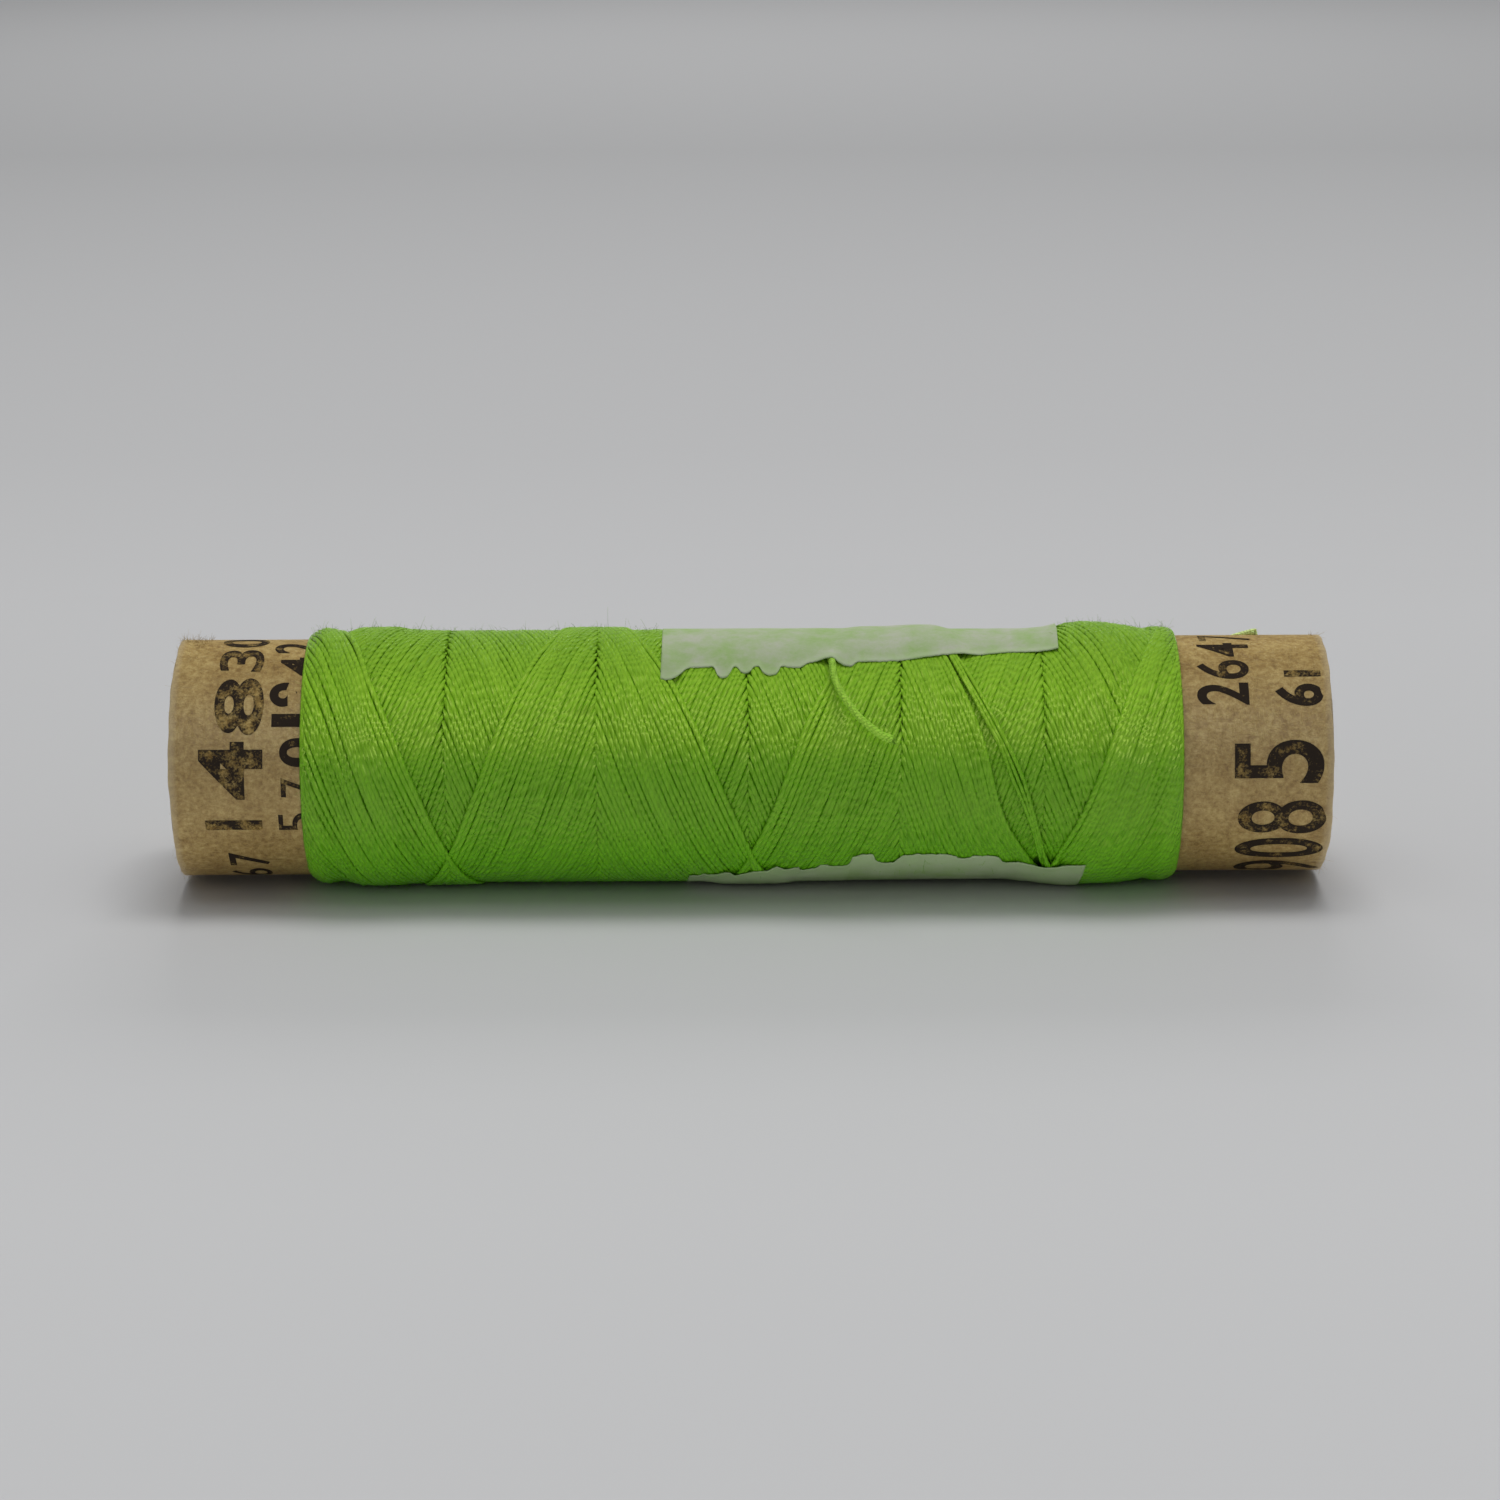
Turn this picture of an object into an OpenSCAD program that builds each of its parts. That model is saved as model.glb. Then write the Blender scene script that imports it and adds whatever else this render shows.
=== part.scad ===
// Spool of cross-wound sewing thread on a laminated kraft-paper tube.
// Millimetres. The tube's axis is X, +Z is up, and the origin is on the axis at the tube's mid-length.

/* [Paper tube] */
// Length of the tube
tube_len = 57; // [50:0.5:80]
// Diameter of the bore that goes on a spool pin
bore_d = 9.4; // [7:0.1:16]
// Thickness of the innermost paper ply
inner_ply_t = 0.4; // [0.25:0.05:0.8]
// Thickness of the middle paper ply
middle_ply_t = 0.45; // [0.25:0.05:1.2]
// Thickness of the outermost paper ply
outer_ply_t = 0.35; // [0.2:0.05:0.8]
// Rounding that wear gives the outer ply's rims
rim_r = 0.25; // [0.05:0.05:0.35]
// Gap left where the edges of a rolled ply meet
seam_gap = 0.12; // [0.05:0.01:0.3]

/* [Thread winding] */
// Bare tube to the left of the winding
left_bare = 6.3; // [3:0.1:8]
// Bare tube to the right of the winding
right_bare = 7.1; // [5:0.1:8]
// Depth of the plain inner layers under the outer one
inner_depth = 0.02; // [0.02:0.02:3]
// Width of the wound strand, flattened by its tension
strand_w = 0.8; // [0.3:0.05:0.8]
// Thickness of the wound strand
strand_t = 0.12; // [0.08:0.01:0.2]
// Clear depth between a strand and the strand that it crosses
crossing_gap = 0.42; // [0.42:0.02:0.8]
// Rounding of the winding's two shoulders
shoulder_r = 0.4; // [0.1:0.05:0.5]
// Depth of the flat that the winding rests on
flat_depth = 0.5; // [0.2:0.05:0.5]

/* [Thread ends] */
// Diameter of the free thread
thread_d = 0.24; // [0.15:0.01:0.3]
// How far the free end runs along the winding
end_len = 3.4; // [2:0.1:5]
// Height of the free end's tip over the winding
end_lift = 0.7; // [0.4:0.05:1]
// How far the starting end runs along the bare tube
start_len = 4.2; // [2:0.1:4.6]
// Clearance of the starting end over the tube
start_lift = 0.02; // [0.01:0.01:0.1]

/* [Paper band] */
// Width of the paper band
band_w = 19.7; // [12:0.1:21]
// Thickness of the paper band
band_t = 0.1; // [0.08:0.01:0.2]
// How far the band's middle sits off the winding's middle
band_shift = 5.8; // [-9:0.1:9]
// How far the band climbs along the winding on its way round
band_climb_len = 1.6; // [0:0.1:3]
// Clearance between the wound strand and the band
band_clear = 0.01; // [0.01:0.01:0.1]

/* [Hidden] */
overshoot = 0.1;

kraft = [0.62, 0.53, 0.37];
kraft_inside = [0.55, 0.46, 0.32];
lime = [0.42, 0.66, 0.12];
lime_deep = [0.30, 0.50, 0.08];
band_white = [0.80, 0.84, 0.76];

// Radii of the tube's plies, from the bore outwards
bore_r = bore_d / 2;
inner_ply_r = bore_r + inner_ply_t;
middle_ply_r = inner_ply_r + middle_ply_t;
tube_r = middle_ply_r + outer_ply_t;
middle_seam_angle = 80;
outer_seam_angle = 200;

// The winding's ends and radii
winding_left = left_bare - tube_len / 2;
winding_right = tube_len / 2 - right_bare;
winding_len = winding_right - winding_left;
winding_mid = (winding_left + winding_right) / 2;
low_r = tube_r + inner_depth + strand_t / 2;
high_r = low_r + strand_t + crossing_gap;
winding_r = high_r + strand_t / 2;
body_r = high_r - strand_t / 2;
flat_z = winding_r - flat_depth;

// The outer layer: a round trip takes 5 3/4 turns. Two crossing strands then always meet on one of
// 23 steps along the winding, at a multiple of 45 degrees round it. It stops under the band.
crossings = 23;
crossing_angle = 45;
pass_angle = crossings * crossing_angle;
ring_angle = 15;
first_angle = 22.5;
reversal_angle = 45;
loops = 22;
end_angle = 97.5;
last_angle = 360 * loops + first_angle - end_angle;
edge_margin = 0.15;
dive_depth = 0.45;
least_wall = 0.05;
stroke = (winding_len - strand_w - 2 * edge_margin) / (1 - reversal_angle / pass_angle);
strand_sides = [for (a = [0:60:300]) [
    strand_w / 2 * cos(a),
    strand_t / 2 * sin(a) / sin(60)
]];
half_loop_rings = 12;
near = 1.5;

// Free end of the thread from the band's torn edge on: part of its reach along the winding, angle
// below the edge, part of its lift
end_route = [
    [0.11, 0, 0], [0.12, 4, 0.17], [0.14, 8, 0.31], [0.16, 12, 0.39], [0.2, 16, 0.43],
    [0.24, 20, 0.49], [0.3, 23.5, 0.54], [0.38, 27, 0.6], [0.47, 30.5, 0.67], [0.57, 34, 0.74],
    [0.69, 37, 0.82], [0.81, 40, 0.9], [0.91, 42, 0.97], [1, 44.5, 1]
];
// Starting end: part of its reach along the tube, angle round
start_route = [
    [0, 150], [0.08, 150], [0.19, 147], [0.31, 142], [0.43, 136], [0.55, 129], [0.67, 123],
    [0.76, 118], [0.86, 113], [1, 107]
];

// Outline of the torn band: part of the width, then the angles at which its two ends stop
band_tear = [
    [0, 52, 307], [0.07, 60, 311], [0.13, 60.5, 314], [0.155, 54, 314.5], [0.18, 60, 315],
    [0.21, 56.5, 316], [0.24, 61, 315.5], [0.275, 55.5, 315], [0.31, 61, 316], [0.37, 64, 318],
    [0.43, 64, 323], [0.47, 60, 324], [0.5, 62.5, 319], [0.56, 63.5, 318.5], [0.6, 65, 324],
    [0.66, 67, 323.5], [0.7, 68, 321], [0.79, 70, 322], [0.83, 71, 318], [0.91, 72, 317.5],
    [1, 72, 320]
];
band_left = winding_mid + band_shift - band_w / 2;
band_row_angle = 9;
band_r = (winding_r + band_clear) / cos(band_row_angle / 2);
band_flat_z = flat_z + band_clear;
band_corner = acos(band_flat_z / band_r);

// Point at a place along the tube, an angle round it (0 at the front, 90 on top) and a radius
function at(x, angle, r) = [x, -r * cos(angle), r * sin(angle)];
function outward(angle) = [0, -cos(angle), sin(angle)];
function upward(angle) = [0, sin(angle), cos(angle)];
function unit(v) = v / norm(v);
function arc(c, r, a0, a1, n = 5) = [
    for (i = [0:n]) let (a = a0 + (a1 - a0) * i / n) c + r * [cos(a), sin(a)]
];
function between(a, b, n) = [for (i = [1:n]) a + (b - a) * i / (n + 1)];

module along_x() {
    rotate([0, 90, 0]) children();
}

// Joins rings of points into one closed tube of triangles
module sweep(rings) {
    n = len(rings[0]);
    last = (len(rings) - 1) * n;
    polyhedron(
        points = [for (ring = rings) each ring],
        faces = [
            for (i = [0:len(rings) - 2], j = [0:n - 1])
                let (a = i * n + j, b = i * n + (j + 1) % n)
                    each [[a, b, b + n], [a, b + n, a + n]],
            for (j = [1:n - 2]) [0, j + 1, j],
            for (j = [1:n - 2]) [last, last + j, last + j + 1]
        ]
    );
}

// Joins open sections, each an outer edge and the inner edge back, into one closed shell
module shell(sections) {
    n = len(sections[0]);
    last = (len(sections) - 1) * n;
    polyhedron(
        points = [for (section = sections) each section],
        faces = [
            for (i = [0:len(sections) - 2], j = [0:n - 1])
                let (a = i * n + j, b = i * n + (j + 1) % n)
                    each [[a, b, b + n], [a, b + n, a + n]],
            for (j = [0:n / 2 - 2]) let (k = n - 1 - j)
                each [[j, k - 1, j + 1], [j, k, k - 1]],
            for (j = [0:n / 2 - 2]) let (k = n - 1 - j)
                each [[last + j, last + j + 1, last + k - 1], [last + j, last + k - 1, last + k]]
        ]
    );
}

// Section points round p, for a thread that runs along t and lies on a face with normal n
function section(p, t, n, sides) =
    let (b = unit(cross(t, n)), up = cross(b, t))
        [for (s = sides) p + b * s.x + up * s.y];

function round_sides(d, n) = [for (i = [0:n - 1]) d / 2 * [cos(360 * i / n), sin(360 * i / n)]];

// Rings along a route of points, each with the outward direction at its point
function rings_along(points, normals, sides) = [
    for (i = [0:len(points) - 1])
        let (
            before = points[max(i - 1, 0)],
            after = points[min(i + 1, len(points) - 1)]
        )
            section(points[i], unit(after - before), normals[i], sides)
];

// ---- Paper tube ----

module ply(r_in, r_out, rim = 0) {
    half = tube_len / 2;
    along_x() rotate_extrude($fn = 96)
        polygon(concat(
            [[r_in, -half]],
            rim > 0 ? arc([r_out - rim, rim - half], rim, -90, 0) : [[r_out, -half]],
            rim > 0 ? arc([r_out - rim, half - rim], rim, 0, 90) : [[r_out, half]],
            [[r_in, half]]
        ));
}

// The slit along the tube where a rolled ply's edges meet
module seam(r_in, r_out, angle) {
    rotate([-angle, 0, 0])
        translate([-tube_len / 2 - overshoot, -r_out - overshoot, -seam_gap / 2])
            cube([tube_len + 2 * overshoot, r_out - r_in + overshoot, seam_gap]);
}

module inner_ply() {
    color(kraft_inside) ply(bore_r, inner_ply_r);
}

module middle_ply() {
    color(kraft_inside) difference() {
        ply(inner_ply_r, middle_ply_r);
        seam(inner_ply_r, middle_ply_r, middle_seam_angle);
    }
}

module outer_ply() {
    color(kraft) difference() {
        ply(middle_ply_r, tube_r, min(rim_r, outer_ply_t - least_wall));
        seam(middle_ply_r, tube_r, outer_seam_angle);
    }
}

// ---- Thread winding ----

// The layers under the outer one: round-shouldered, and flat where the spool rests
module winding_body() {
    r = min(shoulder_r, body_r - tube_r - least_wall);
    color(lime_deep) difference() {
        along_x() rotate_extrude($fn = 96)
            polygon(concat(
                [[tube_r, winding_left]],
                arc([body_r - r, winding_left + r], r, -90, 0),
                arc([body_r - r, winding_right - r], r, 0, 90),
                [[tube_r, winding_right]]
            ));
        translate([winding_left - overshoot, -body_r, -2 * body_r])
            cube([winding_len + 2 * overshoot, 2 * body_r, 2 * body_r - flat_z]);
    }
}

// Distance run from a reversal's peak, eased by a parabola where the traverse turns back
function eased(a) = a < reversal_angle ? reversal_angle / 2 + a * a / (2 * reversal_angle) : a;

// Place along the tube after the strand has wound through an angle. Even passes run to the left.
function strand_x(a) =
    let (
        reversal = round(a / pass_angle),
        side = reversal % 2 == 0 ? 1 : -1,
        run = eased(abs(a - reversal * pass_angle)) / pass_angle
    )
        winding_mid + side * stroke * (0.5 - run);

// Radius of the strand: it passes over or under by the crossing that it is nearest to, so that one
// hand shows on each side of every fourth step, as in a chevron
function strand_r(a) =
    let (
        pass = floor(a / pass_angle),
        step = round((a - pass * pass_angle) / crossing_angle),
        leftward = pass % 2 == 0,
        column = leftward ? crossings - step : step,
        reverses = step == 0 || step == crossings,
        over = leftward ? column % 4 >= 2 : column % 4 < 2
    )
        reverses || over ? high_r : low_r;

function strand_angle(a) = first_angle - a;
function on_flat(p) = [p.x, p.y, max(p.z, strand_t / 2 - flat_z)];
function strand_point(a) = on_flat(at(strand_x(a), strand_angle(a), strand_r(a)));
function lies_on_flat(a) = at(0, strand_angle(a), strand_r(a)).z < strand_t / 2 - flat_z;
function strand_normal(a) = lies_on_flat(a) ? [0, 0, -1] : outward(strand_angle(a));

// The strand comes straight out of the layers below, turns over and then winds
function strand_start() = let (a = first_angle + 3, x = strand_x(0), n = upward(a)) [
    section(at(x, a, body_r - dive_depth), outward(a), n, strand_sides),
    section(at(x, a, body_r - least_wall), outward(a), n, strand_sides),
    section(at(x, a - 1, high_r), unit(outward(a) - n), unit(outward(a) + n), strand_sides)
];

function strand_rings() =
    let (
        angles = [for (a = [0:ring_angle:last_angle]) a],
        points = [for (a = angles) strand_point(a)],
        normals = [for (a = angles) strand_normal(a)]
    )
        [for (ring = rings_along(points, normals, strand_sides))
            [for (p = ring) [p.x, p.y, max(p.z, -flat_z)]]];

// Least distance between two stretches of the strand that are half a loop or more apart
function least_gap(rings) =
    let (c = [for (ring = rings) (ring[0] + ring[3]) / 2])
        min([
            for (i = [0:len(c) - 1 - half_loop_rings], j = [i + half_loop_rings:len(c) - 1])
                if (norm(c[i] - c[j]) < near)
                    for (p = rings[i], q = rings[j]) norm(p - q)
        ]);

module outer_turns() {
    rings = concat(strand_start(), strand_rings());
    echo(str("outer_turns: ", last_angle / 360, " loops, least gap to itself ",
        least_gap(rings), " mm"));
    color(lime) sweep(rings);
}

// ---- Thread ends ----

// Angle of the band's torn top edge at a place along the winding
function edge_angle(x) = lookup((x - band_left) / band_w, [for (t = band_tear) [t.x, t.y]]);

// From the wound strand's end it straightens under the band, and then hangs free
module thread_end() {
    seat_r = winding_r - thread_d / 2;
    x0 = strand_x(last_angle);
    turn = end_route[0].x * end_len;
    edge = edge_angle(x0 + turn);
    route = concat(
        [for (part = [0:0.2:0.8])
            [x0 + turn * (1 - pow(1 - part, 3)), end_angle + (edge - end_angle) * part, 0]],
        [for (p = end_route) [x0 + p.x * end_len, edge - p.y, p.z * end_lift]]
    );
    points = [for (p = route) at(p.x, p.y, seat_r + p.z)];
    normals = [for (p = route) outward(p.y)];
    color(lime) sweep(rings_along(points, normals, round_sides(thread_d, 8)));
}

module start_end() {
    r = tube_r + thread_d / 2 + start_lift;
    points = [for (p = start_route) at(winding_right + p.x * start_len, p.y, r)];
    normals = [for (p = start_route) outward(p.y)];
    color(lime) sweep(rings_along(points, normals, round_sides(thread_d, 8)));
}

// ---- Paper band ----

// Angles of the rows of points from the torn top end, over the back, to the torn bottom end
function band_rows(top, bottom) =
    let (
        foot = 270 - band_corner,
        first = foot - floor((foot - 90) / band_row_angle) * band_row_angle,
        toe = 270 + band_corner
    )
        concat(
            [top], between(top, first, 3),
            [for (a = [first:band_row_angle:foot + 0.001]) a],
            [toe], between(toe, bottom, 2), [bottom]
        );

function band_section(part, top, bottom) =
    let (
        rows = band_rows(top, bottom),
        round_from = band_tear[0].y,
        round_to = band_tear[0].z,
        way = [for (a = rows) (a - round_from) / (round_to - round_from)],
        x = [for (w = way) band_left + band_climb_len * w * w + part * band_w],
        outer = [for (i = [0:len(rows) - 1]) at(x[i], rows[i], band_r + band_t)],
        inner = [for (i = [0:len(rows) - 1]) at(x[i], rows[i], band_r)]
    )
        concat(outer, [for (i = [len(inner) - 1:-1:0]) inner[i]]);

module paper_band() {
    color(band_white) shell([for (t = band_tear) band_section(t.x, t.y, t.z)]);
}

inner_ply();
middle_ply();
outer_ply();
winding_body();
outer_turns();
thread_end();
start_end();
paper_band();
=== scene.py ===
import math

import bmesh
import bpy
import numpy as np
from mathutils import Matrix, Vector


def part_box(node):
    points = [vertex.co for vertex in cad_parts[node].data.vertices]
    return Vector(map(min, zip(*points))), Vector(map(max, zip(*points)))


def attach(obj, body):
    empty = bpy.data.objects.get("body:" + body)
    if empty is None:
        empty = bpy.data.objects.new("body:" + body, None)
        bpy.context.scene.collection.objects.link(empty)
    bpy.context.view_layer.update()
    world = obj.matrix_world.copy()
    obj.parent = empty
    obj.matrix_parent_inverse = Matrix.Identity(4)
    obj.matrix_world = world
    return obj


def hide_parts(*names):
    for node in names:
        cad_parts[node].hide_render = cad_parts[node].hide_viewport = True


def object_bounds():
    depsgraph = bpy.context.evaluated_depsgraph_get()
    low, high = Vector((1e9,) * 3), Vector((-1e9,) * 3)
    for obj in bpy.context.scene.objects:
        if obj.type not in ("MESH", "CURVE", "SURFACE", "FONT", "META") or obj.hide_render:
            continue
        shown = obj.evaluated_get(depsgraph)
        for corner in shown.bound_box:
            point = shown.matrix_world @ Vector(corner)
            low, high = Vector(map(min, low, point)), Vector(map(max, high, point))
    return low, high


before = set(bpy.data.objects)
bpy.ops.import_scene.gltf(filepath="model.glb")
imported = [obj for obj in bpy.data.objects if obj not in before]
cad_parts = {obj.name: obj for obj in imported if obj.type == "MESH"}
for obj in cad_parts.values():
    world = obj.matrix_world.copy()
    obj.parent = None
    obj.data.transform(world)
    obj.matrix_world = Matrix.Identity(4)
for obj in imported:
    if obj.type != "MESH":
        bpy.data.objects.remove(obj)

cad_low, cad_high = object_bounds()
tube_low, tube_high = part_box("outer_ply")
middle_low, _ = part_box("middle_ply")
winding_low, winding_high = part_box("winding_body")

MM = 0.001
FLOOR_Z = cad_low.z / MM


def in_mm(size):
    """A size of the frame in millimetres, to two decimals."""
    return round(size / MM, 2)


# Radii and places along the tube, in millimetres. The thread's own ends lie a little inside
# those of the frame's plain winding.
TUBE_R = in_mm(-tube_low.z)
OUTER_PLY_T = in_mm(middle_low.z - tube_low.z)
HALF_TUBE = in_mm(tube_high.x)
WINDING_LEFT = in_mm(winding_low.x + 0.15 * MM)
WINDING_RIGHT = in_mm(winding_high.x - 0.3 * MM)


# ---- Nodes of the materials ----

BUMP_DEPTH = 0.02


def new_material(name, roughness, specular=0.5):
    """A material, the tree of its nodes, and its shader."""
    material = bpy.data.materials.new(name)
    material.use_nodes = True
    tree = material.node_tree
    shader = tree.nodes["Principled BSDF"]
    shader.inputs["Roughness"].default_value = roughness
    shader.inputs["Specular IOR Level"].default_value = specular
    return material, tree, shader


def add_node(tree, kind, output, inputs, **settings):
    """Adds a node and gives one of its outputs. An input is a value or another node's output."""
    node = tree.nodes.new("ShaderNode" + kind)
    for name, value in settings.items():
        setattr(node, name, value)
    for key, value in inputs.items():
        if isinstance(value, bpy.types.NodeSocket):
            tree.links.new(value, node.inputs[key])
        else:
            node.inputs[key].default_value = value
    return node.outputs[output]


def object_place(tree):
    """The place of each point in metres."""
    return add_node(tree, "TexCoord", "Object", {})


def coordinate(tree, place, axis):
    """One of a place's X, Y and Z."""
    return add_node(tree, "SeparateXYZ", axis, {0: place})


def point_value(tree, name):
    """A value that the mesh holds at its points."""
    return add_node(tree, "Attribute", "Fac", {}, attribute_name=name)


def calculate(tree, operation, *values):
    """One step of arithmetic, on numbers and other nodes' outputs."""
    return add_node(tree, "Math", 0, dict(enumerate(values)), operation=operation)


def noise(tree, place, scale, detail, roughness=0.5, distortion=0.0):
    return add_node(tree, "TexNoise", "Fac", {
        "Vector": place, "Scale": scale, "Detail": detail,
        "Roughness": roughness, "Distortion": distortion,
    })


def map_range(tree, value, start, end, low=0.0, high=1.0):
    return add_node(tree, "MapRange", "Result", {
        "Value": value, "From Min": start, "From Max": end, "To Min": low, "To Max": high,
    })


def mix_colours(tree, factor, first, second, blend_type="MIX"):
    """Mixes two colours, which are inputs 6 and 7 and output 2 of the Mix node."""
    inputs = {"Factor": factor, 6: first, 7: second}
    return add_node(tree, "Mix", 2, inputs, data_type="RGBA", blend_type=blend_type)


def colour_ramp(tree, factor, stops):
    """Colours that follow each other with a factor. A stop is its place and its colour."""
    ramp_node = tree.nodes.new("ShaderNodeValToRGB")
    tree.links.new(factor, ramp_node.inputs["Fac"])
    elements = ramp_node.color_ramp.elements
    for element, (position, colour) in zip(elements, (stops[0], stops[-1])):
        element.position = position
        element.color = (*colour, 1)
    for position, colour in stops[1:-1]:
        elements.new(position).color = (*colour, 1)
    return ramp_node.outputs["Color"]


def finish_shader(tree, shader, colour, bump_strength=0, height=None):
    """Gives the shader its colour and, where there is a height, its fine relief."""
    tree.links.new(colour, shader.inputs["Base Color"])
    if height is not None:
        relief = {"Strength": bump_strength, "Distance": BUMP_DEPTH * MM, "Height": height}
        tree.links.new(add_node(tree, "Bump", "Normal", relief), shader.inputs["Normal"])


# ---- Camera, floor and lights ----

# In millimetres and degrees
CAMERA_DISTANCE = 208
CAMERA_ELEVATION = 15
CAMERA_ROLL = -0.28
VIEW_ANGLE = 20.535
SENSOR_W = 36
AIM_ABOVE_AXIS = 0.24
AIM_ASIDE = -0.063


def add_camera():
    """Looks down a little on the spool's side, with the tube level across the view."""
    tilt = math.radians(CAMERA_ELEVATION)
    back = Vector((0, -math.cos(tilt), math.sin(tilt)))
    up = Vector((0, math.sin(tilt), math.cos(tilt)))
    place = (back * CAMERA_DISTANCE + up * AIM_ABOVE_AXIS + Vector((AIM_ASIDE, 0, 0))) * MM
    bpy.ops.object.camera_add(location=place)
    camera = bpy.context.object
    camera.name = "camera"
    turn = Matrix.Rotation(math.radians(90) - tilt, 4, "X")
    roll = Matrix.Rotation(math.radians(CAMERA_ROLL), 4, "Z")
    camera.rotation_euler = (turn @ roll).to_euler()
    camera.data.sensor_width = SENSOR_W
    camera.data.lens = SENSOR_W / 2 / math.tan(math.radians(VIEW_ANGLE / 2))
    camera.data.clip_start = 0.01
    camera.data.clip_end = 10
    bpy.context.scene.camera = camera


def add_area_light(name, place, size, energy, glossy=True, diffuse=True):
    """A soft rectangular lamp that faces the spool, with place and size in millimetres."""
    bpy.ops.object.light_add(type="AREA", location=Vector(place) * MM)
    lamp = bpy.context.object
    lamp.name = name
    lamp.data.shape = "RECTANGLE"
    lamp.data.size = size[0] * MM
    lamp.data.size_y = size[1] * MM
    lamp.data.energy = energy
    aim = Vector() - Vector(place)
    lamp.rotation_euler = aim.to_track_quat("-Z", "Y").to_euler()
    lamp.visible_glossy = glossy
    lamp.visible_diffuse = diffuse


# Greys of the floor, by share of the way from its front to its back. They hold painted shade: a soft
# painted shadow that deepens towards the spool from the front, and painted shade that darkens the floor
# behind it, most at about 300 mm back.
FLOOR_FRONT = -100
FLOOR_BACK = 600
FLOOR_SHADE_GREYS = (
    (0.0, 0.538), (0.077, 0.524), (0.136, 0.476), (0.2265, 0.459), (0.304, 0.41), (0.411, 0.372),
    (0.581, 0.298), (0.79, 0.317), (1.0, 0.34),
)


def floor_material():
    """Card with painted shade, a soft painted shadow in front of the spool and darker behind it, which
    throws back light as paler card does.
    """
    material, tree, shader = new_material("floor_card", 0.75)
    reach = coordinate(tree, object_place(tree), "Y")
    reach = map_range(tree, reach, FLOOR_FRONT * MM, FLOOR_BACK * MM)
    # Painted shade: the greys darken towards the spool from the front, and behind it
    seen = colour_ramp(tree, reach, [(place, (grey, grey, grey * 1.01)) for place, grey in FLOOR_SHADE_GREYS])
    by_camera = add_node(tree, "LightPath", "Is Camera Ray", {})
    finish_shader(tree, shader, mix_colours(tree, by_camera, (0.94, 0.94, 0.94, 1), seen))
    return material


def add_floor():
    """A wide plane just under the spool."""
    bpy.ops.mesh.primitive_plane_add(size=6, location=(0, 0, FLOOR_Z * MM))
    floor = bpy.context.object
    floor.name = "floor"
    floor.data.materials.append(floor_material())


def set_world():
    """A little cool light from all round."""
    world = bpy.context.scene.world or bpy.data.worlds.new("studio")
    bpy.context.scene.world = world
    world.use_nodes = True
    background = world.node_tree.nodes["Background"]
    background.inputs["Color"].default_value = (0.97, 0.985, 1, 1)
    background.inputs["Strength"].default_value = 0.29


bpy.ops.object.select_all(action="DESELECT")
add_camera()
add_floor()
add_area_light("top_softbox", (45, 150, 570), (320, 200), 1.8, glossy=False)
add_area_light("wide_softbox", (0, 0, 600), (700, 400), 0.95, glossy=False)
add_area_light("back_softbox", (0, 535, 273), (250, 120), 1.0, glossy=False)
add_area_light("glint_lamp", (20, -500, 330), (160, 90), 0.55, diffuse=False)
add_area_light("sheen_lamp", (0, -386, 460), (400, 160), 1.0, diffuse=False)
set_world()
bpy.context.scene.view_settings.view_transform = "Standard"


# ---- Places, tables and meshes ----

THREAD_SIDES = 6


def polar(x, angle, r):
    """Points at places along the tube, angles round it from the front up, and radii, in metres."""
    angle = np.radians(angle)
    return np.stack([x, -r * np.cos(angle), r * np.sin(angle)], axis=-1) * MM


def keep_above(points, z):
    """Raises points that lie lower than a height in millimetres."""
    points[..., 2] = np.maximum(points[..., 2], z * MM)


def unit(v):
    """Vectors of the same direction and a length of 1."""
    return v / np.maximum(np.linalg.norm(v, axis=-1, keepdims=True), 1e-12)


def outward(points):
    """Directions straight away from the tube's axis."""
    away = points.copy()
    away[..., 0] = 0
    return unit(away)


def axes_along(path):
    """Directions ahead, to the side and outward at each point of a path."""
    ahead = unit(np.gradient(path, axis=0))
    side = unit(np.cross(ahead, outward(path)))
    return ahead, side, np.cross(side, ahead)


def run_along(path):
    """Length in millimetres from the start to each point of a path."""
    return np.concatenate([[0], np.cumsum(np.linalg.norm(np.diff(path, axis=0), axis=1))]) / MM


def ramp(value, start, end):
    """Rises from 0 at the start to 1 at the end."""
    return np.clip((value - start) / (end - start), 0, 1)


def plateau(x, places):
    """Rises from 0 to 1 between the first two of four places, and falls back between the others."""
    return np.interp(x, places, (0, 1, 1, 0))


def from_table(table, x):
    """The value at a place, from a table of places and values."""
    places, values = np.array(table).T
    return np.interp(x, places, values)


def set_values(mesh, name, values):
    """Stores a value at each point of a mesh."""
    attribute = mesh.attributes.new(name, "FLOAT", "POINT")
    attribute.data.foreach_set("value", values.astype(np.float32))


def piece_from_arrays(name, points, loops, totals, uvs, attributes):
    """A mesh object from flat arrays of corners, with a UV map and values at its points."""
    mesh = bpy.data.meshes.new(name)
    mesh.vertices.add(len(points))
    mesh.vertices.foreach_set("co", points.astype(np.float32).ravel())
    mesh.loops.add(len(loops))
    mesh.loops.foreach_set("vertex_index", loops.astype(np.int32))
    mesh.polygons.add(len(totals))
    starts = np.concatenate([[0], np.cumsum(totals)[:-1]])
    mesh.polygons.foreach_set("loop_start", starts.astype(np.int32))
    mesh.update(calc_edges=True)
    mesh.uv_layers.new(name="along").data.foreach_set("uv", uvs.astype(np.float32).ravel())
    for key, values in attributes.items():
        set_values(mesh, key, values)
    mesh.validate()
    piece = bpy.data.objects.new(name, mesh)
    bpy.context.scene.collection.objects.link(piece)
    for polygon in mesh.polygons:
        polygon.use_smooth = True
    return piece


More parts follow.
